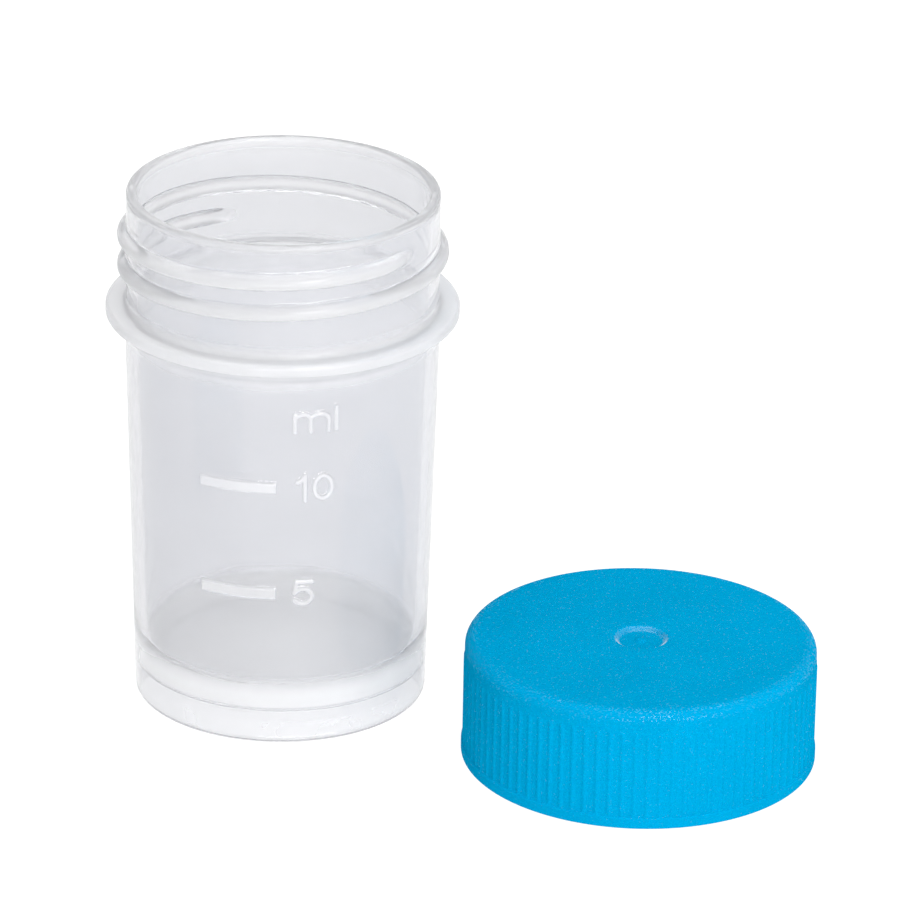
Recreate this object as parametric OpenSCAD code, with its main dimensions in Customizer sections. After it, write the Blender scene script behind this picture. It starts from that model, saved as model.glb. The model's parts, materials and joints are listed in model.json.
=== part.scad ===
// Screw-cap specimen container: a short moulded pot with a threaded neck, a
// collar below the thread and raised filling marks, and its ribbed cap, which
// stands mouth down beside it. The origin is on the pot's axis, at the bench.

/* [Container] */
// Height from the bench to the lip
container_h = 47.7; // [40:0.1:80]
// Diameter of the bore at the mouth
mouth_d = 25.8; // [20:0.1:36]
// Thickness of the body wall
body_wall = 1.1; // [0.8:0.05:2]
// How much the radius narrows from the collar to the foot
body_draft = 0.9; // [0.2:0.05:2]
// Height of the inside floor above the bench
floor_h = 4.0; // [2.5:0.1:8]
// Thickness of the floor
floor_t = 1.1; // [0.8:0.05:2]
// Radius of the inside corner between wall and floor
corner_r = 2.5; // [0.5:0.1:4]
// Radius of the outside edge of the foot
foot_edge_r = 0.4; // [0.1:0.05:0.8]

/* [Neck and collar] */
// Thickness of the neck wall
neck_wall = 0.95; // [0.7:0.05:1.5]
// Height of the neck, from the top face of the collar to the lip
neck_h = 10.4; // [9:0.1:16]
// How far the collar stands out from the body
collar_reach = 1.7; // [1:0.05:4]
// Thickness of the collar
collar_t = 1.1; // [0.8:0.05:2]
// Radius of the collar's two outer edges
collar_edge_r = 0.35; // [0.1:0.05:0.4]
// Radius of the two edges of the lip
lip_edge_r = 0.3; // [0.1:0.05:0.35]
// Radius of the corners where the collar meets neck and body
collar_root_r = 0.4; // [0.1:0.05:0.8]

/* [Thread] */
// Rise of the thread in one turn
thread_pitch = 2.85; // [2.5:0.05:4]
// Turns of the ridge on the neck
thread_turns = 1.63; // [1:0.01:2]
// Turns of the ridge inside the cap
cap_thread_turns = 1.35; // [0.8:0.01:1.5]
// Height of the ridge above the neck
thread_depth = 0.8; // [0.4:0.05:1.2]
// Width of the ridge where it leaves the wall
thread_base = 1.6; // [1:0.05:2]
// How far the crest sits towards the loaded flank
thread_lean = 0.2; // [0:0.05:0.4]
// Distance from the lip down to the upper end of the ridge
thread_drop = 2.7; // [2:0.1:4]
// Direction, seen from above, in which the ridge ends at the top
thread_end_angle = 330; // [0:5:355]
// Angle over which each end of the ridge rises out of the wall
thread_run_in = 24; // [10:1:60]

/* [Filling marks] */
// Volume between two marks, in millilitres
mark_step = 5; // [2:0.5:6]
// Number of marks
mark_count = 2; // [1:1:3]
// Height of a mark's bar
mark_h = 1.0; // [0.5:0.1:2]
// How far a mark stands out from the wall
mark_proud = 0.2; // [0.1:0.05:0.5]
// Angle that a mark spans round the wall
mark_sweep = 29; // [10:1:60]
// Direction, seen from above, in which the marks end
mark_end_angle = 268; // [0:1:359]

/* [Cap] */
// Thickness of the cap's top
cap_top_t = 1.2; // [0.8:0.05:2]
// Thickness of the cap's side wall between the ribs
cap_wall = 0.75; // [0.6:0.05:2]
// Radius of the cap's top edge
cap_edge_r = 1.0; // [0.3:0.05:1.5]
// Radius of the corner inside the cap
cap_corner_r = 0.5; // [0.2:0.05:0.8]
// Height of the plain band round the cap's rim
cap_band_h = 1.0; // [0.5:0.1:2]
// Number of grip ribs
rib_count = 88; // [40:2:100]
// How far the ribs and the rim band stand out from the wall
rib_proud = 0.2; // [0.1:0.05:0.5]
// Radius of a rib's round back
rib_r = 0.3; // [0.2:0.05:0.4]
// Distance from the top face down to the ribs' upper ends
rib_drop = 1.6; // [1:0.1:4]
// Length of the slope at the upper end of a rib
rib_slope = 0.5; // [0.2:0.05:1]

/* [Seal and gate] */
// Height of the sealing ring under the cap's top
seal_h = 1.5; // [0.8:0.1:3]
// Thickness of the sealing ring at its root
seal_t = 0.8; // [0.5:0.05:1.2]
// Slope of the sealing ring's sides
seal_slope = 0.3; // [0.1:0.05:0.4]
// Diameter of the dimple in the middle of the top
dimple_d = 5.0; // [2:0.1:8]
// Depth of the dimple
dimple_depth = 0.35; // [0.1:0.05:0.6]
// Width of the dimple's sloping edge
dimple_slope = 0.55; // [0.2:0.05:0.9]
// Diameter of the gate mark in the dimple
gate_d = 1.3; // [0.5:0.1:1.5]
// Height of the gate mark above the dimple's floor
gate_h = 0.2; // [0.05:0.05:0.3]

/* [Fits] */
// Radial clearance between the two threads
thread_gap = 0.15; // [0.05:0.01:0.3]
// Axial clearance between the flanks of the two threads
flank_gap = 0.1; // [0.05:0.01:0.3]
// Radial clearance between the sealing ring and the mouth
seal_gap = 0.05; // [0.02:0.01:0.2]
// Clearance between the collar and the rim of the closed cap
collar_gap = 0.5; // [0.2:0.1:1]

/* [Cap beside the container] */
// Clearance between the collar and the cap that stands beside it
stand_gap = 3.35; // [0.5:0.05:20]
// Direction, seen from above, in which the cap stands
stand_angle = -23.9; // [-180:0.1:180]

/* [Hidden] */
$fn = 96;

arc_steps = 6;          // strips on each small round edge
thread_steps = 48;      // rings of the ridge in one turn
flank_steps = 8;        // strips across the ridge
ridge_root = 0.25;      // how deep the ridge's base is sunk into its wall
ridge_foot = 0.1;       // how deep the ridge's feet and ends lie in its wall
mark_root = 0.3;        // how deep a mark is sunk into the wall
rim_edge_r = 0.2;       // radius of the outside edge of the cap's rim
pot_colour = [0.92, 0.94, 0.95, 0.55];
cap_colour = [0.0, 0.63, 0.84];

mouth_r = mouth_d / 2;
neck_r = mouth_r + neck_wall;
body_top_r = mouth_r + body_wall;
foot_r = body_top_r - body_draft;
skirt_r = foot_r - body_wall;
collar_r = body_top_r + collar_reach;
collar_top = container_h - neck_h;
collar_under = collar_top - collar_t;
floor_under = floor_h - floor_t;
// The taper ends under the collar, and the straight bore of the neck starts there.
taper_top = collar_under - collar_root_r;
draft = body_draft / taper_top;
thread_r = neck_r + thread_depth;

cap_bore_r = thread_r + thread_gap;
cap_thread_r = neck_r + thread_gap;
cap_r = cap_bore_r + cap_wall;
cap_band_r = cap_r + rib_proud;
cap_inside_h = neck_h - collar_gap;
cap_h = cap_inside_h + cap_top_t;
rib_top = cap_h - rib_drop;
seal_r = mouth_r - seal_gap;
// On the closed cap the two ridges lie this far apart, the cap's below.
ridge_spacing = thread_base * 0.75 + thread_lean + flank_gap;

stand_r = collar_r + stand_gap + cap_band_r;
cap_place = [stand_r * cos(stand_angle), stand_r * sin(stand_angle), 0];

// Inside and outside radius of the tapered body at a height.
function cavity_r(z) = mouth_r - body_draft + draft * z;
function body_r(z) = foot_r + draft * z;

// Points on a round edge about x, z, from one direction to another.
function arc(x, z, r, from, to) = [
    for (i = [0:arc_steps])
        let (a = from + (to - from) * i / arc_steps)
        [x + r * cos(a), z + r * sin(a)]
];

// The volume that the round corner takes from the inside, by the path of its centroid.
corner_area = (1 - PI / 4) * corner_r * corner_r;
corner_loss = 2 * PI * (cavity_r(floor_h) - 0.223 * corner_r) * corner_area;

// Height to which a volume in millilitres fills the tapered inside.
function fill_height(ml) =
    let (cube = pow(cavity_r(floor_h), 3) + 3 * draft * (1000 * ml + corner_loss) / PI)
    (pow(cube, 1 / 3) - cavity_r(0)) / draft;

module container_wall() {
    corner_top = floor_h + corner_r;
    root_x = body_top_r + collar_root_r;
    edge_x = collar_r - collar_edge_r;
    lip_z = container_h - lip_edge_r;
    rotate_extrude()
        polygon(concat(
            [[skirt_r, 0]],
            arc(foot_r - foot_edge_r, foot_edge_r, foot_edge_r, -90, 0),
            arc(root_x, taper_top, collar_root_r, 180, 90),
            arc(edge_x, collar_under + collar_edge_r, collar_edge_r, -90, 0),
            arc(edge_x, collar_top - collar_edge_r, collar_edge_r, 0, 90),
            arc(neck_r + collar_root_r, collar_top + collar_root_r, collar_root_r, 270, 180),
            arc(neck_r - lip_edge_r, lip_z, lip_edge_r, 0, 90),
            arc(mouth_r + lip_edge_r, lip_z, lip_edge_r, 90, 180),
            [[mouth_r, taper_top]],
            arc(cavity_r(corner_top) - corner_r, corner_top, corner_r, 0, -90),
            [[0, floor_h], [0, floor_under], [skirt_r, floor_under]]
        ));
}

// A ridge that climbs round a wall and sinks into it at both ends. It stands
// from wall_r to tip_r, which is outside the neck's wall and inside the cap's.
module thread_ridge(wall_r, tip_r, turns, top) {
    side = sign(tip_r - wall_r);
    reach = abs(tip_r - wall_r) + ridge_foot;
    sweep = 360 * turns;
    rings = ceil(turns * thread_steps);
    strips = flank_steps + 3;
    half = thread_base / 2;

    function growth(turned) =
        let (t = min(1, turned / thread_run_in, (sweep - turned) / thread_run_in))
        t * t * (3 - 2 * t);
    function bulge(u) = 1 - pow(abs(u), 2.4);
    function section(grown) = concat(
        [[wall_r - side * ridge_root, -side * half]],
        [
            for (k = [0:flank_steps])
                let (u = side * (2 * k / flank_steps - 1), b = bulge(u) * grown)
                [wall_r + side * (reach * b - ridge_foot), u * half - side * thread_lean * b]
        ],
        [[wall_r - side * ridge_root, side * half]]
    );
    function at(ring, k) = ring * strips + k % strips;

    points = [
        for (i = [0:rings])
            let (
                turned = sweep * i / rings,
                a = thread_end_angle - sweep + turned,
                z = top - thread_pitch * (sweep - turned) / 360
            )
            for (p = section(growth(turned)))
                [p[0] * cos(a), p[0] * sin(a), z + p[1]]
    ];
    flanks = [
        for (i = [0:rings - 1], k = [0:strips - 1])
            each [
                [at(i, k), at(i + 1, k + 1), at(i + 1, k)],
                [at(i, k), at(i, k + 1), at(i + 1, k + 1)]
            ]
    ];
    ends = [
        [for (k = [0:strips - 1]) at(0, k)],
        [for (k = [strips - 1:-1:0]) at(rings, k)]
    ];
    polyhedron(points, concat(flanks, ends));
}

// A raised bar on the tapered wall, level with a fill height.
module filling_mark(z) {
    low = z - mark_h / 2;
    high = z + mark_h / 2;
    rotate([0, 0, mark_end_angle - mark_sweep])
        rotate_extrude(angle = mark_sweep)
            polygon([
                [body_r(low) - mark_root, low],
                [body_r(low) + mark_proud, low],
                [body_r(high) + mark_proud, high],
                [body_r(high) - mark_root, high]
            ]);
}

module container() {
    color(pot_colour) {
        container_wall();
        thread_ridge(neck_r, thread_r, thread_turns, container_h - thread_drop);
        for (i = [1:mark_count])
            filling_mark(fill_height(i * mark_step));
    }
}

// The cap's wall and top with the rim band, the dimple and gate mark in the
// middle of the top, and the sealing ring under it.
module cap_shell() {
    dimple_r = dimple_d / 2;
    dimple_z = cap_h - dimple_depth;
    seal_z = cap_inside_h - seal_h;
    rotate_extrude()
        polygon(concat(
            [[cap_bore_r, 0]],
            arc(cap_band_r - rim_edge_r, rim_edge_r, rim_edge_r, -90, 0),
            [[cap_band_r, cap_band_h], [cap_r, cap_band_h + rib_proud]],
            arc(cap_r - cap_edge_r, cap_h - cap_edge_r, cap_edge_r, 0, 90),
            [
                [dimple_r, cap_h],
                [dimple_r - dimple_slope, dimple_z],
                [gate_d / 2, dimple_z],
                [gate_d / 2 - gate_h, dimple_z + gate_h],
                [0, dimple_z + gate_h],
                [0, cap_inside_h],
                [seal_r - seal_t, cap_inside_h],
                [seal_r - seal_t + seal_slope / 2, seal_z],
                [seal_r - seal_slope, seal_z],
                [seal_r, seal_z + seal_h / 2],
                [seal_r, cap_inside_h]
            ],
            arc(cap_bore_r - cap_corner_r, cap_inside_h - cap_corner_r, cap_corner_r, 90, 0)
        ));
}

// Grip ribs with round backs, sloped off at their upper ends.
module grip_ribs() {
    tip_r = cap_r + 2 * rib_proud;
    intersection() {
        translate([0, 0, cap_band_h / 2])
            linear_extrude(cap_h - cap_band_h)
                for (i = [0:rib_count - 1])
                    rotate([0, 0, 360 * i / rib_count])
                        translate([cap_band_r - rib_r, 0])
                            circle(rib_r, $fn = 16);
        rotate_extrude()
            polygon([
                [cap_bore_r + cap_wall / 4, 0],
                [tip_r, 0],
                [tip_r, rib_top - rib_slope],
                [cap_bore_r + cap_wall / 4, rib_top]
            ]);
    }
}

module cap() {
    color(cap_colour)
        translate(cap_place) {
            cap_shell();
            grip_ribs();
            thread_ridge(
                cap_bore_r, cap_thread_r, cap_thread_turns,
                cap_inside_h - thread_drop - ridge_spacing
            );
        }
}

container();
cap();
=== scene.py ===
"""Looks for a screw-cap specimen container: a translucent moulded pot with a
threaded neck, a collar and raised filling marks, and its ribbed blue cap, which
stands mouth down beside it. Lengths are in metres, and MM turns millimetres into them."""

import json
import math

import bpy
import numpy as np
from mathutils import Matrix, Vector


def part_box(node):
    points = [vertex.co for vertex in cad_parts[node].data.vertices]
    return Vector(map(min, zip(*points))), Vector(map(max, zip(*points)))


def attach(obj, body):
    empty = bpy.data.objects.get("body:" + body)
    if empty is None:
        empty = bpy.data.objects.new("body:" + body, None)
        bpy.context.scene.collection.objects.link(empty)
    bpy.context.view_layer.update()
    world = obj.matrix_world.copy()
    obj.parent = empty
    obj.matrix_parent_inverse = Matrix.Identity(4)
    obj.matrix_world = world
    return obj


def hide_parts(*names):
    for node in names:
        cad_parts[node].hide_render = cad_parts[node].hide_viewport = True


bl_info = {
    "name": "Specimen container",
    "version": (1, 0, 0),
    "blender": (4, 5, 0),
    "location": "View3D > Sidebar > Container",
    "description": "Builds a translucent screw-cap specimen container and its ribbed cap",
    "category": "Add Mesh",
}

MM = 0.001

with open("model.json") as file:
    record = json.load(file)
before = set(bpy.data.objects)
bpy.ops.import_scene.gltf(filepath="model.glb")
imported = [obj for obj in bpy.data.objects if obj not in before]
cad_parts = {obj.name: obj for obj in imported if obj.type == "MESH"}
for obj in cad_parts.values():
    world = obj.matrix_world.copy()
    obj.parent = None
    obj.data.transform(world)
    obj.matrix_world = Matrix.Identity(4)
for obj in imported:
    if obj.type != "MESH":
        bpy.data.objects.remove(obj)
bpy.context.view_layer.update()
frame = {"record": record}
MOUNTS = {mount["name"]: mount for mount in frame["record"]["mounts"]}
CONTAINER_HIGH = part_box("container")[1]
CAP_LOW, CAP_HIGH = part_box("cap")
CAP_PLACE = Vector(MOUNTS["cap_top"]["pos_m"][:2] + [0])
CAP_RADIUS = (CAP_HIGH.y - CAP_LOW.y) / 2
COLLAR_UNDER = MOUNTS["rack_shoulder"]["pos_m"][2]


# ------------------------------ settings


def length(name, description, mm):
    """A length that a user may change, with its default in millimetres."""
    return bpy.props.FloatProperty(
        name=name, description=description, default=mm * MM, unit="LENGTH", precision=5
    )


def turn(name, description, degrees):
    """An angle that a user may change, with its default in degrees."""
    return bpy.props.FloatProperty(
        name=name, description=description, default=math.radians(degrees), subtype="ANGLE"
    )


def share(name, description, value, top=1.0):
    """A plain number that a user may change."""
    return bpy.props.FloatProperty(
        name=name, description=description, default=value, min=0, max=top
    )


def colour(name, description, rgb):
    """A colour that a user may change."""
    return bpy.props.FloatVectorProperty(
        name=name, description=description, default=rgb, size=3, subtype="COLOR", min=0, max=1
    )


class ContainerSizes(bpy.types.PropertyGroup):
    """Sizes of the container's wall, collar and filling marks"""

    height: length("Height", "From the bench to the lip", CONTAINER_HIGH.z / MM)
    mouth_radius: length("Mouth radius", "Radius of the bore", MOUNTS["mouth"]["dims"]["r_mm"])
    collar_radius: length("Collar radius", "Radius of the collar", CONTAINER_HIGH.x / MM)
    collar_under: length("Collar height", "Height of the collar's lower face", COLLAR_UNDER / MM)
    collar_thickness: length("Collar thickness", "Thickness of the collar", 1.1)
    collar_edge: length("Collar edge", "Radius of the collar's outer edges", 0.35)
    collar_root: length("Collar root", "Radius where the collar meets the wall", 0.4)
    wall: length("Wall", "Thickness of the body wall", 1.1)
    neck_wall: length("Neck wall", "Thickness of the neck wall", 0.95)
    draft: length("Draft", "How much the radius narrows from the collar to the foot", 0.9)
    floor_height: length("Floor height", "Height of the inside floor", 4.0)
    floor_thickness: length("Floor thickness", "Thickness of the floor", 1.1)
    corner: length("Inside corner", "Radius between the wall and the floor", 2.5)
    foot_edge: length("Foot edge", "Radius of the outside edge of the foot", 0.4)
    lip_edge: length("Lip edge", "Radius of the two edges of the lip", 0.3)
    recess_edge: length("Recess edge", "Radius of the edges of the recess under the foot", 0.2)
    mark_height: length("Mark height", "Height of a filling mark's bar", 1.0)
    mark_proud: length("Mark relief", "How far marks and figures stand out", 0.2)
    mark_sweep: turn("Mark sweep", "Angle that a filling mark spans", 29)
    mark_end: turn("Mark end", "Direction in which the filling marks end", 268)
    five_ml: length("5 ml height", "Height of the middle of the 5 ml mark", 14.85)
    ten_ml: length("10 ml height", "Height of the middle of the 10 ml mark", 25.05)
    figure_line: length("Unit height", "Height of the foot of the letters ml", 30.45)
    figure_stroke: length("Figure stroke", "Width of the strokes of the figures", 0.38)
    figure_edge: length("Relief edge", "Width of the sloping edge of marks and figures", 0.14)


class ThreadSizes(bpy.types.PropertyGroup):
    """Sizes of the screw thread on the neck and inside the cap"""

    pitch: length("Pitch", "Rise of the thread in one turn", 2.85)
    depth: length("Depth", "Height of the ridge above its wall", 0.8)
    base: length("Base width", "Width of the ridge where it leaves the wall", 1.6)
    lean: length("Lean", "How far the crest sits towards the loaded flank", 0.2)
    drop: length("Drop", "Distance from the lip down to the upper end of the ridge", 2.7)
    spacing: length("Spacing", "How far the cap's ridge lies below the neck's when closed", 1.5)
    turns: share("Turns on the neck", "Turns of the ridge on the neck", 1.63, 3)
    cap_turns: share("Turns in the cap", "Turns of the ridge inside the cap", 1.35, 3)
    end: turn("End direction", "Direction in which the ridge ends at the top", 330)
    run_in: turn("Run-in", "Angle over which each end of the ridge rises", 24)


class CapSizes(bpy.types.PropertyGroup):
    """Sizes of the cap"""

    height: length("Height", "Height of the cap", CAP_HIGH.z / MM)
    radius: length("Radius", "Radius over the solid's ribs and the rim band", CAP_RADIUS / MM)
    wall: length("Wall", "Thickness of the side wall between the ribs", 0.75)
    top: length("Top", "Thickness of the top", 1.2)
    edge: length("Top edge", "Radius of the top edge", 1.0)
    corner: length("Inside corner", "Radius of the corner inside the cap", 0.5)
    rim_edge: length("Rim edge", "Radius of the edges of the rim", 0.2)
    band: length("Rim band", "Height of the plain band round the rim", 1.0)
    rib_proud: length("Rib height", "How far a rib stands out from the wall", 0.2)
    rib_left: share("Rib left", "Share of the rib height that a worn mould leaves", 0.45)
    rib_width: length("Rib width", "Width of a rib at its foot", 0.64)
    rib_top: length("Rib top", "Height of the ribs' upper ends", 9.3)
    rib_fade: length("Rib end", "Length over which a rib's upper end rounds off", 0.45)
    seal_radius: length("Seal radius", "Outer radius of the sealing ring", 12.85)
    seal_height: length("Seal height", "Height of the sealing ring", 1.5)
    seal_wall: length("Seal wall", "Thickness of the sealing ring at its root", 0.8)
    dimple: length("Dimple radius", "Radius of the dimple in the top", 2.5)
    dimple_depth: length("Dimple depth", "Depth of the dimple", 0.35)
    gate: length("Gate radius", "Radius of the gate mark", 0.65)
    gate_height: length("Gate height", "Height of the gate mark above the dimple's floor", 0.2)
    rib_count: bpy.props.IntProperty(
        name="Ribs", description="Number of grip ribs", default=88, min=12, max=200
    )


class Finishes(bpy.types.PropertyGroup):
    """Colours and gloss of the two plastics and the floor"""

    clear: colour("Thin plastic", "Tint of the clear plastic where it is thin", (0.78, 0.785, 0.81))
    thick: colour("Thick plastic", "Tint of the clear plastic where it is thick", (1.0, 1.0, 1.0))
    clear_transmission: share("Clearness", "How much light passes straight through", 0.75)
    milk: share("Milkiness", "How much less light passes where the plastic is thick", 0.38)
    haze: share("Haze", "Light that the thin plastic scatters on its way through", 0.1)
    thick_haze: share("Thick haze", "How much more light the thick plastic scatters", 0.7)
    mark_milk: share("Mark milk", "Milkiness of raised marks and of the bands on the wall", 0.35)
    clear_roughness: share("Clear roughness", "Roughness of the clear plastic", 0.03)
    blue: colour("Blue polypropylene", "Colour of the cap", (0.0, 0.23, 0.43))
    blue_roughness: share("Blue roughness", "Roughness of the cap", 0.42)
    paper: colour("Floor", "Colour of the floor", (0.15, 0.15, 0.15))
    paper_glow: share("Floor glow", "Light that comes up through the floor", 0.92)


class StageSizes(bpy.types.PropertyGroup):
    """Camera, lights and floor"""

    camera_distance: length("Camera distance", "From the camera to the container's foot", 597.8)
    camera_height: length("Camera height", "Height of the camera", 256.2)
    focal: share("Focal length", "Focal length in millimetres on a 36 mm sensor", 258, 1000)
    aim: bpy.props.FloatVectorProperty(
        name="Aim",
        description="Point in the middle of the view",
        default=(16.1 * MM, 8.3 * MM, 18.4 * MM),
        unit="LENGTH",
    )
    roll: turn("Roll", "Turn of the camera about its own axis", 1.05)
    floor: length("Floor", "Width of the floor", 3000)
    world: share("Surround", "Brightness of the white surround", 0.8, 10)


# ------------------------------ surfaces


def arc(x, z, radius, start, end, steps):
    """Points on a round edge about (x, z), from one direction in degrees to another."""
    angles = np.radians(np.linspace(start, end, steps + 1))
    return [(x + radius * math.cos(a), z + radius * math.sin(a)) for a in angles]


def line(start, end, step):
    """Points inside the straight stretch between two points, about step apart."""
    count = max(1, round(math.dist(start, end) / step))
    return [
        tuple(np.add(start, np.subtract(end, start) * i / count)) for i in range(1, count)
    ]


def spread(*stops):
    """Values that run through (value, step) stops, spaced by the step that holds from each on."""
    runs = [
        np.linspace(a, b, max(1, round(abs(b - a) / step)), endpoint=False)
        for (a, step), (b, _) in zip(stops, stops[1:])
    ]
    return np.concatenate([*runs, [stops[-1][0]]])


def ramp(value):
    """0 below 0, 1 above 1, and a smooth rise between."""
    t = np.clip(value, 0, 1)
    return t * t * (3 - 2 * t)


def stitch(first, second, places, others, closed):
    """Faces between two rows of point numbers, which lie at these places along the row."""
    if closed:
        first, second = [*first, first[0]], [*second, second[0]]
        places, others = [*places, 1.0], [*others, 1.0]
    if len(first) == len(second):
        return [
            (first[i], second[i], second[i + 1], first[i + 1]) for i in range(len(first) - 1)
        ]
    faces, i, j = [], 0, 0
    while i < len(first) - 1 or j < len(second) - 1:
        ahead = places[i] + places[i + 1] if i < len(first) - 1 else math.inf
        beside = others[j] + others[j + 1] if j < len(second) - 1 else math.inf
        if ahead <= beside:
            faces.append((first[i], second[j], first[i + 1]))
            i += 1
        else:
            faces.append((first[i], second[j], second[j + 1]))
            j += 1
    return faces


def fan(first, second, closed):
    """Triangles between a pole and the row beside it."""
    row = second if len(first) == 1 else first
    ends = [*row, row[0]] if closed else row
    if len(first) == 1:
        return [(first[0], a, b) for a, b in zip(ends, ends[1:])]
    return [(a, second[0], b) for a, b in zip(ends, ends[1:])]


def skin(name, rows, closed):
    """A mesh object through rows of points. Each row is (angles, radii, heights), with one
    angle at a pole, and the rows run down the outside or up the inside."""
    points, faces, before = [], [], None
    for angles, radii, heights in rows:
        ring = np.empty((len(angles), 3))
        ring[:, 0] = radii * np.cos(angles)
        ring[:, 1] = radii * np.sin(angles)
        ring[:, 2] = heights
        numbers = list(range(len(points), len(points) + len(ring)))
        points.extend(ring.tolist())
        full = 2 * math.pi if closed else angles[-1] - angles[0] or 1
        places = list((angles - angles[0]) / full)
        if before and 1 in (len(before[0]), len(numbers)):
            faces += fan(before[0], numbers, closed)
        elif before:
            faces += stitch(before[0], numbers, before[1], places, closed)
        before = (numbers, places)
    mesh = bpy.data.meshes.new(name)
    mesh.from_pydata(points, [], faces)
    mesh.update()
    made = bpy.data.objects.new(name, mesh)
    bpy.context.scene.collection.objects.link(made)
    return made


# ------------------------------ node trees


class Nodes:
    """A node tree as it is built."""

    def __init__(self, tree):
        self.tree = tree

    def give(self, socket, value):
        """Links a value to an input, or sets the input to it."""
        if isinstance(value, bpy.types.NodeSocket):
            self.tree.links.new(value, socket)
        else:
            socket.default_value = value

    def node(self, kind, values=(), **settings):
        """Adds a node, sets or links its inputs by name or number, and returns it."""
        made = self.tree.nodes.new(kind)
        for key, value in settings.items():
            setattr(made, key, value)
        for key, value in dict(values).items():
            self.give(made.inputs[key], value)
        return made

    def result(self, kind, values=(), **settings):
        """The first result of a node that is added."""
        return self.node(kind, values, **settings).outputs[0]

    def math(self, operation, *values):
        """A Math node's result."""
        return self.result("ShaderNodeMath", enumerate(values), operation=operation)

    def vector(self, operation, values):
        """A Vector Math node's results."""
        return self.node("ShaderNodeVectorMath", values, operation=operation).outputs


class Tree(Nodes):
    """A geometry node tree as it is built. inputs gives the type of each input by its name."""

    def __init__(self, name, inputs):
        super().__init__(bpy.data.node_groups.new(name, "GeometryNodeTree"))
        interface = self.tree.interface
        interface.new_socket("Geometry", in_out="INPUT", socket_type="NodeSocketGeometry")
        interface.new_socket("Geometry", in_out="OUTPUT", socket_type="NodeSocketGeometry")
        for label, kind in inputs.items():
            interface.new_socket(label, in_out="INPUT", socket_type="NodeSocket" + kind)
        self.source = self.tree.nodes.new("NodeGroupInput").outputs
        self.sink = self.tree.nodes.new("NodeGroupOutput").inputs

    def finish(self, geometry, material):
        """Ends the tree in Realize Instances and Set Material."""
        realized = self.result("GeometryNodeRealizeInstances", {"Geometry": geometry})
        dressed = self.result(
            "GeometryNodeSetMaterial", {"Geometry": realized, "Material": material}
        )
        self.give(self.sink["Geometry"], dressed)


RIDGE_INPUTS = {
    label: "Float"
    for label in "Wall Radius,Side,Top,Pitch,Turns,Depth,Base,Lean,Foot,End,Run-in".split(",")
}
WALL_TOLERANCE = 0.02 * MM  # how far from its radius a point may be and still count as wall
RIDGE_FOOT = 0.1 * MM  # how deep the feet of the ridge lie in the wall
RIDGE_POWER = 2.4  # how square the back of the ridge is
CREST_BULK = 0.75  # how thick the neck's wall counts as under the crest of the ridge
LEAN_ROUNDS = 4  # rounds in which the leaning section of the ridge settles


def ridge_tree():
    """Raises a screw ridge on a round wall: each point of the wall finds the nearest turn of the
    ridge, and moves out of the wall, or into the bore where Side is -1. Share says how far it
    moved, as a share of the ridge's depth."""
    t = Tree("Screw ridge", RIDGE_INPUTS)
    t.tree.interface.new_socket("Share", in_out="OUTPUT", socket_type="NodeSocketFloat")
    given = t.source
    position = t.result("GeometryNodeInputPosition")
    xyz = t.node("ShaderNodeSeparateXYZ", {0: position}).outputs
    flat = t.vector("MULTIPLY", {0: position, 1: (1, 1, 0)})[0]
    radius = t.vector("LENGTH", {0: flat})["Value"]
    outward = t.vector("NORMALIZE", {0: flat})[0]
    angle = t.math("ARCTAN2", xyz[1], xyz[0])

    behind = t.math("FRACT", t.math("DIVIDE", t.math("SUBTRACT", given["End"], angle), 2 * math.pi))
    wanted = t.math("DIVIDE", t.math("SUBTRACT", given["Top"], xyz[2]), given["Pitch"])
    whole = t.math("ROUND", t.math("SUBTRACT", wanted, behind))
    most = t.math("FLOOR", t.math("SUBTRACT", given["Turns"], behind))
    whole = t.math("MAXIMUM", t.math("MINIMUM", whole, most), 0)
    turned = t.math("ADD", behind, whole)

    left = t.math("MINIMUM", turned, t.math("SUBTRACT", given["Turns"], turned))
    run_in = t.math("DIVIDE", given["Run-in"], 2 * math.pi)
    growth = t.node(
        "ShaderNodeMapRange",
        {"Value": left, "From Min": 0, "From Max": run_in, "To Min": 0, "To Max": 1},
        interpolation_type="SMOOTHSTEP",
    ).outputs["Result"]

    middle = t.math("SUBTRACT", given["Top"], t.math("MULTIPLY", given["Pitch"], turned))
    rise = t.math("SUBTRACT", xyz[2], middle)
    half = t.math("DIVIDE", given["Base"], 2)
    lean = t.math("MULTIPLY", given["Lean"], growth)
    across = t.math("DIVIDE", rise, half)
    for _ in range(LEAN_ROUNDS):
        power = t.math("POWER", t.math("MINIMUM", t.math("ABSOLUTE", across), 1), RIDGE_POWER)
        bulge = t.math("SUBTRACT", 1, power)
        across = t.math("DIVIDE", t.math("MULTIPLY_ADD", bulge, lean, rise), half)
    reach = t.math("MULTIPLY", t.math("ADD", given["Depth"], given["Foot"]), growth)
    height = t.math("SUBTRACT", t.math("MULTIPLY", reach, bulge), given["Foot"])
    height = t.math("SMOOTH_MAX", height, 0, given["Foot"])
    offset = t.math("MULTIPLY", height, given["Side"])

    on_wall = t.math("COMPARE", radius, given["Wall Radius"], WALL_TOLERANCE)
    kept = t.node("GeometryNodeCaptureAttribute", {"Geometry": given["Geometry"]})
    kept.capture_items.new("FLOAT", "Share")
    t.give(kept.inputs[1], t.math("MULTIPLY", t.math("DIVIDE", height, given["Depth"]), on_wall))
    moved = t.result(
        "GeometryNodeSetPosition",
        {
            "Geometry": kept.outputs[0],
            "Selection": on_wall,
            "Offset": t.vector("SCALE", {0: outward, "Scale": offset})[0],
        },
    )
    t.give(t.sink["Geometry"], moved)
    t.give(t.sink["Share"], kept.outputs[1])
    return t.tree


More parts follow.
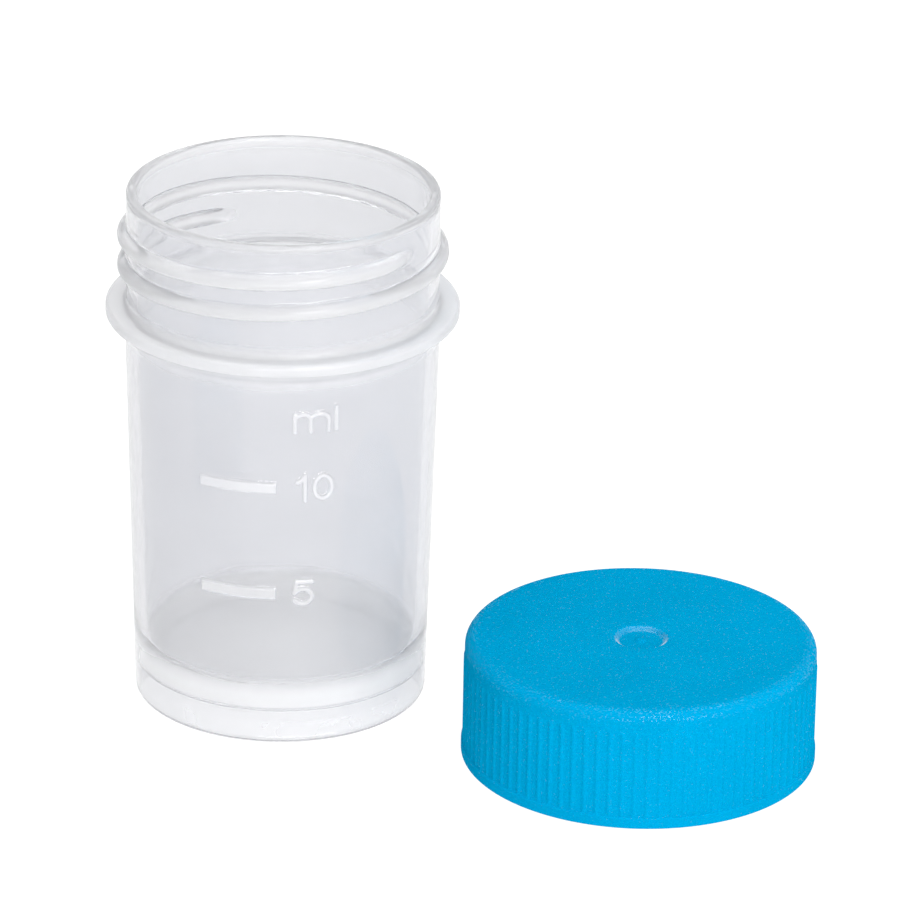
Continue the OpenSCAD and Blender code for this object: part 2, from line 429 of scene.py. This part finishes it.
def threaded_tree(ridge):
    """The wall that comes in, with its ridge and its material."""
    t = Tree("Threaded wall", {**RIDGE_INPUTS, "Material": "Material"})
    threaded = add_ridge(t, ridge, t.source["Geometry"])
    before = t.result("GeometryNodeInputNamedAttribute", {"Name": BULK}, data_type="FLOAT")
    noted = t.result(
        "GeometryNodeStoreNamedAttribute",
        {
            "Geometry": threaded["Geometry"],
            "Name": BULK,
            "Value": t.math("MAXIMUM", before, t.math("MULTIPLY", threaded["Share"], CREST_BULK)),
        },
        data_type="FLOAT",
        domain="POINT",
    )
    t.finish(noted, t.source["Material"])
    return t.tree


def ribbed_cap_tree(ridge):
    """The sector of a cap that comes in, repeated round the axis and joined into one skin, with
    the ridge inside, then set in its place."""
    more_inputs = {"Ribs": "Int", "Join": "Float", "Place": "Vector", "Material": "Material"}
    t = Tree("Ribbed cap", {**RIDGE_INPUTS, **more_inputs})
    points = t.result("GeometryNodePoints", {"Count": t.source["Ribs"]})
    index = t.result("GeometryNodeInputIndex")
    step = t.math("DIVIDE", 2 * math.pi, t.source["Ribs"])
    euler = t.result("ShaderNodeCombineXYZ", {"Z": t.math("MULTIPLY", index, step)})
    rotation = t.result("FunctionNodeEulerToRotation", {0: euler})
    sectors = t.result(
        "GeometryNodeInstanceOnPoints",
        {"Points": points, "Instance": t.source["Geometry"], "Rotation": rotation},
    )
    joined = t.result(
        "GeometryNodeMergeByDistance",
        {
            "Geometry": t.result("GeometryNodeRealizeInstances", {0: sectors}),
            "Distance": t.source["Join"],
        },
    )
    threaded = add_ridge(t, ridge, joined)
    placed = t.result(
        "GeometryNodeTransform",
        {"Geometry": threaded["Geometry"], "Translation": t.source["Place"]},
    )
    t.finish(placed, t.source["Material"])
    return t.tree


def add_ridge(t, ridge, geometry):
    """Puts the ridge tree into another tree, with all its sizes passed on."""
    sizes = {label: t.source[label] for label in RIDGE_INPUTS}
    values = {"Geometry": geometry, **sizes}
    return t.node("GeometryNodeGroup", values, node_tree=ridge).outputs


def ridge_values(wall_radius, side, turns, top):
    """The values of the ridge's inputs, from the thread's settings."""
    thread = bpy.context.scene.specimen_thread
    return {
        "Wall Radius": wall_radius,
        "Side": float(side),
        "Top": top,
        "Pitch": thread.pitch,
        "Turns": turns,
        "Depth": thread.depth,
        "Base": thread.base,
        "Lean": thread.lean,
        "Foot": RIDGE_FOOT,
        "End": thread.end,
        "Run-in": thread.run_in,
    }


HARD_EDGE = math.radians(50)  # edges sharper than this stay hard


def run_tree(blank, tree, name, values):
    """Runs a node tree on a blank, which is used up, and returns the result as a plain mesh
    object."""
    modifier = blank.modifiers.new(tree.name, "NODES")
    modifier.node_group = tree
    sockets = {
        item.name: item.identifier
        for item in tree.interface.items_tree
        if item.in_out == "INPUT"
    }
    for label, value in values.items():
        modifier[sockets[label]] = value
    depsgraph = bpy.context.evaluated_depsgraph_get()
    mesh = bpy.data.meshes.new_from_object(
        blank.evaluated_get(depsgraph), preserve_all_data_layers=True, depsgraph=depsgraph
    )
    bpy.data.objects.remove(blank)
    mesh.name = name
    mesh.shade_smooth()
    mesh.set_sharp_from_angle(angle=HARD_EDGE)
    made = bpy.data.objects.new(name, mesh)
    bpy.context.scene.collection.objects.link(made)
    return made


# ------------------------------ materials


class Paint(Nodes):
    """A material's node tree as it is built."""

    def __init__(self, name):
        self.material = bpy.data.materials.new(name)
        self.material.use_nodes = True
        super().__init__(self.material.node_tree)
        self.shader = self.kept("BSDF_PRINCIPLED")
        self.place = self.node("ShaderNodeTexCoord").outputs["Object"]

    def kept(self, kind):
        """The node of this kind that every new material has."""
        return next(node for node in self.tree.nodes if node.type == kind)

    def noise(self, grain, detail=2.0, roughness=0.5):
        """Noise between 0 and 1 whose lumps are about this long."""
        return self.node(
            "ShaderNodeTexNoise",
            {"Vector": self.place, "Scale": 1 / grain, "Detail": detail, "Roughness": roughness},
        ).outputs["Fac"]

    def ranged(self, value, low, high, start=0.3, end=0.7):
        """A value from start to end spread over low to high."""
        return self.node(
            "ShaderNodeMapRange",
            {"Value": value, "From Min": start, "From Max": end, "To Min": low, "To Max": high},
        ).outputs["Result"]

    def noted(self, name):
        """The value that the mesh holds under this name."""
        return self.node("ShaderNodeAttribute", attribute_name=name).outputs["Fac"]

    def shaded(self, rgb, factor):
        """A colour made lighter or darker by a factor."""
        return self.vector("SCALE", {0: tuple(rgb), "Scale": factor})[0]

    def bump(self, height, depth, under=None):
        """A bump of this depth, over another one."""
        values = {"Height": height, "Distance": depth, "Strength": 1.0}
        if under is not None:
            values["Normal"] = under
        return self.node("ShaderNodeBump", values).outputs["Normal"]

    def blend(self, other, part):
        """Mixes this part of another shader into the surface."""
        mixed = self.result(
            "ShaderNodeMixShader", {0: part, 1: self.shader.outputs[0], 2: other}
        )
        self.give(self.kept("OUTPUT_MATERIAL").inputs["Surface"], mixed)

    def set(self, **values):
        """Sets or links the shader's inputs, with _ for a space."""
        for key, value in values.items():
            self.give(self.shader.inputs[key.replace("_", " ")], value)


POLYPROPYLENE_IOR = 1.49
GLOSSY_CLEARNESS = 0.98  # light that passes through where the face is glossy and the wall thin
MILK_ROUGHNESS = 0.1  # how much rougher the milkiest plastic is
SLOPE_POLISH = 3  # how polished the dimple's slope is, where the cap's top edge is 1
POLISH_GLINTS = 0.1  # how much a polish of 1 adds to the noise that places the glints
GLINTS_START, GLINTS_FULL = 0.68, 0.76  # values of this noise


def clear_polypropylene():
    """Natural polypropylene: clear, whiter where it is thick, a little matt on the outside, and
    with a mould's faint waviness."""
    finish = bpy.context.scene.specimen_finish
    paint = Paint("natural_polypropylene")
    matt, bulk = paint.noted(MATT), paint.noted(BULK)
    # relief carries the white marks, the milky band of the thick inside corner and the painted glow
    # under the collar
    marks_bands_and_glow = paint.math("MULTIPLY", paint.noted(RELIEF), finish.mark_milk)
    milk = paint.math("MAXIMUM", marks_bands_and_glow, bulk)

    stopped = 1 - finish.clear_transmission
    stopped = paint.ranged(paint.noise(6 * MM, detail=3), stopped - 0.03, stopped + 0.03)
    lost = paint.math("MULTIPLY_ADD", milk, finish.milk, paint.math("MULTIPLY", stopped, matt))
    clearness = paint.math("SUBTRACT", GLOSSY_CLEARNESS, lost)
    smooth = finish.clear_roughness
    roughness = paint.ranged(paint.noise(0.35 * MM), smooth * 0.8, smooth * 1.25)
    roughness = paint.math("MULTIPLY_ADD", milk, MILK_ROUGHNESS, roughness)
    tint = paint.node(
        "ShaderNodeMix",
        {"Factor": milk, "A": (*finish.clear, 1), "B": (*finish.thick, 1)},
        data_type="RGBA",
    ).outputs["Result"]
    paint.set(
        Base_Color=tint,
        Transmission_Weight=clearness,
        Roughness=roughness,
        IOR=POLYPROPYLENE_IOR,
        Normal=paint.bump(paint.noise(4 * MM, detail=1), 0.008 * MM),
    )
    haze = paint.result("ShaderNodeBsdfTranslucent", {"Color": tint})
    thin_haze = paint.math("MULTIPLY", matt, finish.haze)
    paint.blend(haze, paint.math("MULTIPLY_ADD", bulk, finish.thick_haze, thin_haze))
    return paint.material


def polished_places(paint):
    """Where the cap is polished: 1 along its worn top edge, and SLOPE_POLISH on the dimple's
    slope."""
    cap = bpy.context.scene.specimen_cap
    place = paint.node("ShaderNodeSeparateXYZ", {0: paint.place}).outputs
    below_top = paint.math("SUBTRACT", cap.height, place[2])
    flat = paint.result("ShaderNodeCombineXYZ", {0: place[0], 1: place[1]})
    from_axis = paint.vector("DISTANCE", {0: flat, 1: CAP_PLACE})["Value"]
    edge = paint.math(
        "MULTIPLY",
        paint.ranged(from_axis, 0, 1, start=cap.radius - 1.6 * MM, end=cap.radius - 0.9 * MM),
        paint.ranged(below_top, 1, 0, start=0.8 * MM, end=1.3 * MM),
    )
    off_slope = paint.math("ABSOLUTE", paint.math("SUBTRACT", from_axis, cap.dimple - 0.35 * MM))
    slope = paint.ranged(off_slope, SLOPE_POLISH, 0, start=0.15 * MM, end=0.35 * MM)
    return paint.math("MAXIMUM", edge, slope)


def blue_polypropylene():
    """Cyan-blue polypropylene with a satin, finely grained face. Glints are scattered over it,
    and lie thicker where it is polished."""
    finish = bpy.context.scene.specimen_finish
    paint = Paint("blue_polypropylene")
    grain = paint.noise(0.28 * MM, detail=3, roughness=0.6)
    flow = paint.noise(9 * MM, detail=2)
    shade = paint.math("MULTIPLY", paint.ranged(flow, 0.96, 1.03), paint.ranged(grain, 0.94, 1.06))
    glints = paint.noise(0.16 * MM, detail=1)
    glints = paint.math("MULTIPLY_ADD", polished_places(paint), POLISH_GLINTS, glints)
    satin = finish.blue_roughness
    paint.set(
        Base_Color=paint.shaded(finish.blue, shade),
        Roughness=paint.ranged(grain, satin - 0.06, satin + 0.06),
        IOR=POLYPROPYLENE_IOR,
        Specular_IOR_Level=0.0,
        Coat_Weight=paint.ranged(glints, 0, 1, GLINTS_START, GLINTS_FULL),
        Coat_Roughness=0.14,
        Coat_IOR=POLYPROPYLENE_IOR,
        Coat_Normal=paint.bump(paint.noise(0.12 * MM, detail=1), 0.02 * MM),
        Subsurface_Weight=0.15,
        Subsurface_Radius=(0.2, 0.6, 1.0),
        Subsurface_Scale=1.0 * MM,
        Normal=paint.bump(grain, 0.03 * MM, paint.bump(flow, 0.05 * MM)),
    )
    return paint.material


def pale_paper():
    """A plain pale floor with a very faint mottle."""
    finish = bpy.context.scene.specimen_finish
    paint = Paint("pale_floor")
    shade = paint.ranged(paint.noise(20 * MM), 0.995, 1.005)
    paint.set(
        Base_Color=paint.shaded(finish.paper, shade),
        Roughness=0.7,
        Specular_IOR_Level=0.2,
        Emission_Color=(1, 1, 1, 1),
        Emission_Strength=finish.paper_glow,
    )
    return paint.material


# ------------------------------ container

# Names of the attributes that the container's skin holds, each from 0 to 1
# relief also holds a painted glow: the plain wall under the collar made milky
RELIEF = "relief"  # how white marks, figures and milky bands are
BULK = "bulk"  # how thick the plastic is
MATT = "matt"  # how matt the mould left the face

# Values of these attributes
MARK_RELIEF = 0.9
DARK_BAND = 0.9  # how much clearer the wall beside the floor is than the milky band above it
FOOT_BAND = 0.25  # how much milkier again the wall of the foot is
FOOT_BULK = 0.15
COLLAR_BULK = 0.55
LIP_BULK = 0.5
NECK_MATT = 0.7
BODY_MATT = 0.65

FRONT = math.radians(270)  # direction that the marks and figures face


def figure_strokes(sizes):
    """The strokes of the moulded figures, as runs of points in metres: along the wall from the
    front, and up."""

    def stroke(base, *points):
        """A run of points in millimetres, up from a line."""
        return [(x * MM, base + z * MM) for x, z in points]

    def bow(base, x, z, rx, rz, start, end):
        """Part of an ellipse in millimetres, up from a line."""
        angles = np.radians(np.linspace(start, end, 13))
        return [((x + rx * math.cos(a)) * MM, base + (z + rz * math.sin(a)) * MM) for a in angles]

    unit, ten, five = sizes.figure_line, sizes.ten_ml, sizes.five_ml
    return [
        stroke(unit, (1.12, 0), (1.12, 1.65)),
        bow(unit, 1.81, 1.1, 0.69, 0.55, 170, 0),
        stroke(unit, (2.5, 1.1), (2.5, 0)),
        bow(unit, 3.31, 1.1, 0.81, 0.55, 175, 0),
        stroke(unit, (4.12, 1.1), (4.12, 0)),
        stroke(unit, (4.8, 0), (4.8, 2.15)),
        stroke(ten, (1.35, 0.55), (1.75, 0.75), (2.05, 1.15), (2.05, -1.2)),
        bow(ten, 3.66, 0, 0.8, 1.1, 0, 360),
        stroke(five, (2.7, 1.1), (1.35, 1.1), (1.18, 0.05)),
        bow(five, 1.88, -0.3, 0.82, 0.72, 152, -150),
    ]


def stroke_distance(across, up, points):
    """How far each place is from a run of straight strokes."""
    nearest = np.full(np.broadcast(across, up).shape, np.inf)
    for (ax, az), (bx, bz) in zip(points, points[1:]):
        dx, dz = bx - ax, bz - az
        along = ((across - ax) * dx + (up - az) * dz) / (dx * dx + dz * dz)
        along = np.clip(along, 0, 1)
        nearest = np.minimum(nearest, np.hypot(across - ax - along * dx, up - az - along * dz))
    return nearest


def mark_relief(sizes, angles, height, radius):
    """How far the marks and figures stand out at one height of the wall, as a share."""
    across = (angles - FRONT) * radius
    edge = sizes.figure_edge
    proud = np.zeros(len(angles))
    start = (sizes.mark_end - sizes.mark_sweep - FRONT) * radius
    end = (sizes.mark_end - FRONT) * radius
    for middle in (sizes.five_ml, sizes.ten_ml):
        outside = np.maximum(
            np.maximum(start - across, across - end), abs(height - middle) - sizes.mark_height / 2
        )
        proud = np.maximum(proud, ramp(0.5 - outside / edge))
    for points in figure_strokes(sizes):
        outside = stroke_distance(across, height, points) - sizes.figure_stroke / 2
        proud = np.maximum(proud, ramp(0.5 - outside / edge))
    return proud


THREAD_ROW = 0.1 * MM  # distance between rows of points across the thread
MARK_ROW = 0.11 * MM  # distance between rows of points across the marks
MARK_REACH = 1.6 * MM  # how far above and below the middle of a mark these rows go on
FIGURES_SPAN = 23  # degrees from the marks' end to the figures' end


class ContainerLines:
    """Radii and heights that follow from the container's sizes, and the four parts of its outline
    in their order, each a run of (radius, height) points."""

    def __init__(self, sizes, thread):
        self.sizes, self.thread = sizes, thread
        self.neck_radius = sizes.mouth_radius + sizes.neck_wall
        self.body_radius = sizes.mouth_radius + sizes.wall
        self.foot_radius = self.body_radius - sizes.draft
        self.recess_radius = self.foot_radius - sizes.wall
        self.collar_top = sizes.collar_under + sizes.collar_thickness
        self.floor_under = sizes.floor_height - sizes.floor_thickness
        self.taper_top = sizes.collar_under - sizes.collar_root
        self.lip = sizes.height - sizes.lip_edge
        self.corner_top = sizes.floor_height + sizes.corner

    def inside(self):
        """Out over the floor, up the bore and over the lip."""
        sizes, mouth, edge = self.sizes, self.sizes.mouth_radius, self.sizes.lip_edge
        corner_x = mouth - sizes.draft * (1 - self.corner_top / self.taper_top) - sizes.corner
        points = [(r * MM, sizes.floor_height) for r in (1.5, 3.5, 5.5, 7.5)]
        points += arc(corner_x, self.corner_top, sizes.corner, -90, 0, 10)
        points += line(points[-1], (mouth, self.taper_top), 2 * MM)
        points += [(mouth, self.taper_top)]
        points += line(points[-1], (mouth, self.lip), 1.2 * MM)
        points += arc(mouth + edge, self.lip, edge, 180, 90, 5)
        return points + arc(self.neck_radius - edge, self.lip, edge, 90, 0, 5)

    def neck(self):
        """Down the threaded neck and round the collar."""
        sizes, thread = self.sizes, self.thread
        root, edge = sizes.collar_root, sizes.collar_edge
        collar_x = sizes.collar_radius - edge
        thread_top = sizes.height - thread.drop + thread.base
        thread_foot = sizes.height - thread.drop - thread.pitch * thread.turns - thread.base
        heights = spread(
            (self.lip, 0.4 * MM),
            (thread_top, THREAD_ROW),
            (thread_foot, 0.3 * MM),
            (self.collar_top + root, 1),
        )[1:-1]
        points = [(self.neck_radius, z) for z in heights]
        points += arc(self.neck_radius + root, self.collar_top + root, root, 180, 270, 6)
        points += arc(collar_x, self.collar_top - edge, edge, 90, 0, 6)
        points += arc(collar_x, sizes.collar_under + edge, edge, 0, -90, 6)
        return points + arc(self.body_radius + root, sizes.collar_under - root, root, 90, 180, 6)

    def body(self):
        """Down the wall with the marks and figures."""
        sizes = self.sizes
        heights = spread(
            (self.taper_top, 0.8 * MM),
            (sizes.figure_line + 2.6 * MM, MARK_ROW),
            (sizes.figure_line - 0.4 * MM, 0.8 * MM),
            (sizes.ten_ml + MARK_REACH, MARK_ROW),
            (sizes.ten_ml - MARK_REACH, 0.9 * MM),
            (sizes.five_ml + MARK_REACH, MARK_ROW),
            (sizes.five_ml - MARK_REACH, 1.2 * MM),
            (self.corner_top + 0.5 * MM, 0.2 * MM),
            (sizes.foot_edge, 1),
        )[1:-1]
        return [(self.foot_radius + sizes.draft * z / self.taper_top, z) for z in heights]

    def foot(self):
        """Round the rim of the foot and in under the floor."""
        edge, rim = self.sizes.recess_edge, self.sizes.foot_edge
        points = arc(self.foot_radius - rim, rim, rim, 0, -90, 6)
        points += arc(self.recess_radius + edge, edge, edge, -90, -180, 4)
        points += arc(self.recess_radius - edge, self.floor_under - edge, edge, 0, 90, 4)
        return points + [(r * MM, self.floor_under) for r in (9.5, 7, 4.5, 2)]

    def band(self, height):
        """How milky the outside of the wall looks over the floor, where the inside corner makes the
        plastic thick, and under the collar, where the whiteness is painted glow from the collar.
        """
        sizes = self.sizes
        low = ramp((self.corner_top + 0.3 * MM - height) / (2.4 * MM))
        low -= DARK_BAND * ramp((sizes.floor_height - 0.4 * MM - height) / (0.3 * MM))
        low += FOOT_BAND * ramp((self.floor_under - 0.5 * MM - height) / (0.4 * MM))
        # painted glow: the plain wall below the collar is made milkier, as if lit by light
        # scattered from the collar
        return max(low, ramp((height - sizes.collar_under + 2.4 * MM) / (1.6 * MM)))

    def bulk(self, height):
        """How thick the plastic is beside the collar and the lip, from 0 to 1."""
        middle = (self.sizes.collar_under + self.collar_top) / 2
        collar = COLLAR_BULK * ramp(1.7 - abs(height - middle) / (1 * MM))
        return max(collar, LIP_BULK * ramp((height - self.lip + 0.3 * MM) / (0.3 * MM)))

    def floor_bulk(self, height):
        """How thick the plastic is at the inside's corner, from 0 to 1."""
        return ramp((self.corner_top - height) / (1.4 * MM))


def wall_angles(sizes):
    """Directions of the points round the wall, which lie closer across the marks and figures."""
    last = math.degrees(sizes.mark_end)
    first = last - math.degrees(sizes.mark_sweep)
    return np.radians(
        spread(
            (0, 1.5),
            (first - 1.2, 0.3),
            (first + 1.2, 1.5),
            (last - 1.2, 0.3),
            (last + FIGURES_SPAN, 1.5),
            (360, 1),
        )
    )[:-1]


def container_rows(sizes, thread):
    """The container's skin: up the inside from the middle of the floor, over the lip, down the
    outside and in under the foot. Returns the rows, and each attribute's values at their points."""
    lines = ContainerLines(sizes, thread)
    pole, fine = np.zeros(1), wall_angles(sizes)
    coarse = np.radians(spread((0, 1.5), (360, 1)))[:-1]
    rows, notes = [], {RELIEF: [], BULK: [], MATT: []}

    def add(angles, radii, height, values):
        """Adds a row, with the values of its attributes, which are 0 where they aren't given."""
        rows.append((angles, radii, height))
        for name, noted in notes.items():
            noted.append(values.get(name, 0) + np.zeros(len(angles)))

    add(pole, 0, sizes.floor_height, {BULK: 1})
    for radius, height in lines.inside():
        add(coarse, radius, height, {BULK: max(lines.floor_bulk(height), lines.bulk(height))})
    for radius, height in lines.neck():
        add(coarse, radius, height, {BULK: lines.bulk(height), MATT: NECK_MATT})
    for radius, height in lines.body():
        proud = mark_relief(sizes, fine, height, radius)
        # the marks' white, the thick corner's milky band and the painted glow under the collar
        white = np.maximum(MARK_RELIEF * proud, lines.band(height))
        values = {RELIEF: white, BULK: lines.bulk(height), MATT: BODY_MATT}
        add(fine, radius + proud * sizes.mark_proud, height, values)
    for radius, height in lines.foot():
        add(coarse, radius, height, {BULK: FOOT_BULK})
    add(pole, 0, lines.floor_under, {BULK: FOOT_BULK})
    return rows, {name: np.concatenate(noted) for name, noted in notes.items()}


class BuildContainer(bpy.types.Operator):
    """Builds the translucent container with its thread, collar, marks and figures"""

    bl_idname = "specimen.build_container"
    bl_label = "Build the container"

    def execute(self, context):
        sizes, thread = context.scene.specimen_container, context.scene.specimen_thread
        rows, notes = container_rows(sizes, thread)
        blank = skin("container_blank", rows, closed=True)
        for name, values in notes.items():
            attribute = blank.data.attributes.new(name, "FLOAT", "POINT")
            attribute.data.foreach_set("value", values.astype(np.float32))
        values = ridge_values(
            sizes.mouth_radius + sizes.neck_wall, 1, thread.turns, sizes.height - thread.drop
        )
        values["Material"] = clear_polypropylene()
        tree = threaded_tree(ridge_tree())
        container = run_tree(blank, tree, "specimen_container", values)
        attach(container, "root")
        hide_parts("container")
        return {"FINISHED"}


# ------------------------------ cap


RIB_FULLNESS = 0.8  # power of the rounded rib: below 1 its crest is broader
RIB_COLUMNS = 12  # strips across one rib and its gap
JOIN_DISTANCE = 0.002 * MM  # points nearer than this are one point
DIMPLE_SLOPE = 0.6 * MM  # width of the dimple's slope
INNER_EDGE = 0.15 * MM  # radius of the rim's inside edge
SEAL_SLOPE = 0.3 * MM  # how much narrower the sealing ring is at its foot


def rib_profile(sizes, angles, radius):
    """How far a rib stands out at each angle of one sector, as a share."""
    across = np.minimum(abs(angles) * radius / (sizes.rib_width / 2), 1)
    return (0.5 + 0.5 * np.cos(np.pi * across)) ** RIB_FULLNESS


def cap_top(sizes, wall_radius):
    """Points from the gate mark out over the dimple and the top, and round the top edge."""
    floor = sizes.height - sizes.dimple_depth
    gate_top = floor + sizes.gate_height
    points = [(0.3 * MM, gate_top - 0.01 * MM), (0.42 * MM, gate_top - 0.05 * MM)]
    points += [(0.55 * MM, floor + 0.06 * MM), (sizes.gate, floor + 0.01 * MM)]
    points += [(0.9 * MM, floor), (1.4 * MM, floor)]
    for part in np.linspace(0, 1, 9):
        reach = sizes.dimple - DIMPLE_SLOPE + DIMPLE_SLOPE * part
        points.append((reach, floor + sizes.dimple_depth * float(ramp(part))))
    points += [(r * MM, sizes.height) for r in (3.2, 5.5, 8, 10.5, 12.5, 13.8)]
    edge = sizes.edge
    return points + arc(wall_radius - edge, sizes.height - edge, edge, 90, 0, 10)


def cap_bore(sizes, thread, bore):
    """Points round the rim, up the threaded bore and over the sealing ring."""
    rim, corner, under = sizes.rim_edge, sizes.corner, sizes.height - sizes.top
    points = arc(sizes.radius - rim, rim, rim, 0, -90, 5)
    points += arc(bore + INNER_EDGE, INNER_EDGE, INNER_EDGE, -90, -180, 3)

    ridge_top = under - thread.drop - thread.spacing
    ridge_foot = ridge_top - thread.pitch * thread.cap_turns
    heights = spread(
        (INNER_EDGE, 0.2 * MM),
        (ridge_foot - thread.base * 0.6, THREAD_ROW),
        (ridge_top + thread.base * 0.6, 0.6 * MM),
        (under - corner, 1),
    )[1:-1]
    points += [(bore, z) for z in heights]
    points += arc(bore - corner, under - corner, corner, 0, 90, 5)

    low = under - sizes.seal_height
    outer, inner = sizes.seal_radius, sizes.seal_radius - sizes.seal_wall
    points += [
        (outer + 0.06 * MM, under),
        (outer, under - 0.06 * MM),
        (outer, low + sizes.seal_height * 0.55),
        (outer - 0.03 * MM, low + sizes.seal_height * 0.42),
        (outer - SEAL_SLOPE, low + 0.04 * MM),
        (outer - SEAL_SLOPE - 0.06 * MM, low),
        (inner + SEAL_SLOPE / 2 + 0.05 * MM, low),
        (inner + SEAL_SLOPE / 2, low + 0.05 * MM),
        (inner, under - 0.06 * MM),
        (inner - 0.06 * MM, under),
    ]
    return points + [(r * MM, under) for r in (10, 7.5, 5, 2.5)]


def cap_rows(sizes, thread):
    """One sector of the cap's skin: from the gate mark out over the top, down the ribbed side,
    round the rim and up the inside to the middle again."""
    wall_radius = sizes.radius - sizes.rib_proud
    half = math.pi / sizes.rib_count
    few = np.array([-half, 0, half])
    many = np.linspace(-half, half, RIB_COLUMNS + 1)
    pole = np.zeros(1)
    rib = rib_profile(sizes, many, wall_radius)
    band_top = sizes.band + sizes.rib_proud
    side = spread(
        (sizes.height - sizes.edge, 0.25 * MM),
        (sizes.rib_top, 0.06 * MM),
        (sizes.rib_top - sizes.rib_fade, 0.9 * MM),
        (band_top + 0.1 * MM, 0.05 * MM),
        (sizes.band - 0.05 * MM, 0.25 * MM),
        (sizes.rim_edge, 1),
    )[1:-1]

    rows = [(pole, 0, sizes.height - sizes.dimple_depth + sizes.gate_height)]
    rows += [(few, r, z) for r, z in cap_top(sizes, wall_radius)]
    for z in side:
        shown = float(ramp((sizes.rib_top - z) / sizes.rib_fade))
        banded = float(ramp((band_top - z) / (band_top - sizes.band)))
        proud = np.maximum(rib * shown * sizes.rib_left, banded)
        rows.append((many, wall_radius + sizes.rib_proud * proud, z))
    rows += [(few, r, z) for r, z in cap_bore(sizes, thread, wall_radius - sizes.wall)]
    rows.append((pole, 0, sizes.height - sizes.top))
    return rows


class BuildCap(bpy.types.Operator):
    """Builds the ribbed cap with its dimple, rim band, inner thread and sealing ring"""

    bl_idname = "specimen.build_cap"
    bl_label = "Build the cap"

    def execute(self, context):
        sizes, thread = context.scene.specimen_cap, context.scene.specimen_thread
        sector = skin("cap_sector", cap_rows(sizes, thread), closed=False)
        values = ridge_values(
            sizes.radius - sizes.rib_proud - sizes.wall,
            -1,
            thread.cap_turns,
            sizes.height - sizes.top - thread.drop - thread.spacing,
        )
        values["Ribs"] = sizes.rib_count
        values["Join"] = JOIN_DISTANCE
        values["Place"] = CAP_PLACE
        values["Material"] = blue_polypropylene()
        tree = ribbed_cap_tree(ridge_tree())
        cap = run_tree(sector, tree, "ribbed_cap", values)
        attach(cap, "root")
        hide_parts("cap")
        cap.visible_glossy = False  # the clear wall beside it doesn't mirror it
        return {"FINISHED"}


# ------------------------------ stage


# Each light's place and width and height in metres, and its power in watts
LIGHTS = {
    "overhead_softbox": ((0.05, 0.1, 1.0), 1.0, 0.8, 5.2),
    "key_softbox": ((0.22, -0.62, 0.62), 0.3, 0.2, 3.0),
    "front_softbox": ((0.2, -0.78, 0.12), 1.0, 0.2, 5.2),
}
LIT_POINT = (0.01, 0, 0.02)  # the lights face this point


def softbox(name, place, width, height, power):
    """A plain white area light that faces the pieces."""
    lamp = bpy.data.lights.new(name, "AREA")
    lamp.shape = "RECTANGLE"
    lamp.size = width
    lamp.size_y = height
    lamp.energy = power
    made = bpy.data.objects.new(name, lamp)
    made.location = place
    made.rotation_euler = (Vector(LIT_POINT) - Vector(place)).to_track_quat("-Z", "Y").to_euler()
    bpy.context.scene.collection.objects.link(made)


class BuildStage(bpy.types.Operator):
    """Builds the pale floor, the soft lights and the camera"""

    bl_idname = "specimen.build_stage"
    bl_label = "Build the stage"

    def execute(self, context):
        scene, sizes = context.scene, context.scene.specimen_stage
        half = sizes.floor / 2
        mesh = bpy.data.meshes.new("floor")
        corners = [(-half, -half, 0), (half, -half, 0), (half, half, 0), (-half, half, 0)]
        mesh.from_pydata(corners, [], [(0, 1, 2, 3)])
        mesh.materials.append(pale_paper())
        floor = bpy.data.objects.new("floor", mesh)
        scene.collection.objects.link(floor)

        for name, light in LIGHTS.items():
            softbox(name, *light)

        world = bpy.data.worlds.new("surround")
        world.use_nodes = True
        surround = world.node_tree.nodes["Background"].inputs
        surround["Color"].default_value = (1, 1, 1, 1)
        surround["Strength"].default_value = sizes.world
        scene.world = world
        scene.view_settings.view_transform = "Standard"

        lens = bpy.data.cameras.new("camera")
        lens.sensor_width = 36
        lens.lens = sizes.focal
        lens.clip_end = 10
        camera = bpy.data.objects.new("camera", lens)
        flat = math.sqrt(sizes.camera_distance**2 - sizes.camera_height**2)
        camera.location = (0, -flat, sizes.camera_height)
        view = (Vector(sizes.aim) - camera.location).to_track_quat("-Z", "Y").to_matrix()
        camera.rotation_euler = (view @ Matrix.Rotation(sizes.roll, 3, "Z")).to_euler()
        scene.collection.objects.link(camera)
        scene.camera = camera
        return {"FINISHED"}


# ------------------------------ add-on


class ContainerPanel(bpy.types.Panel):
    """The specimen container's settings and steps"""

    bl_idname = "VIEW3D_PT_specimen_container"
    bl_label = "Specimen container"
    bl_space_type = "VIEW_3D"
    bl_region_type = "UI"
    bl_category = "Container"

    def draw(self, context):
        for name in GROUPS:
            box = self.layout.box()
            box.label(text=name.replace("_", " ").capitalize())
            group = getattr(context.scene, name)
            for key in group.__annotations__:
                box.prop(group, key)
        for step in STEPS:
            self.layout.operator(step.bl_idname)


# Where each group of settings is found in the scene
GROUPS = {
    "specimen_container": ContainerSizes,
    "specimen_thread": ThreadSizes,
    "specimen_cap": CapSizes,
    "specimen_finish": Finishes,
    "specimen_stage": StageSizes,
}
STEPS = (BuildStage, BuildContainer, BuildCap)


def register():
    """Adds the settings, the steps and the panel to Blender."""
    for name, group in GROUPS.items():
        bpy.utils.register_class(group)
        setattr(bpy.types.Scene, name, bpy.props.PointerProperty(type=group))
    for step in STEPS:
        bpy.utils.register_class(step)
    bpy.utils.register_class(ContainerPanel)


def unregister():
    """Takes them out again."""
    bpy.utils.unregister_class(ContainerPanel)
    for step in reversed(STEPS):
        bpy.utils.unregister_class(step)
    for name, group in GROUPS.items():
        delattr(bpy.types.Scene, name)
        bpy.utils.unregister_class(group)


def main():
    """Registers the add-on and builds every piece."""
    register()
    bpy.ops.specimen.build_stage()
    bpy.ops.specimen.build_container()
    bpy.ops.specimen.build_cap()


if __name__ == "__main__":
    main()
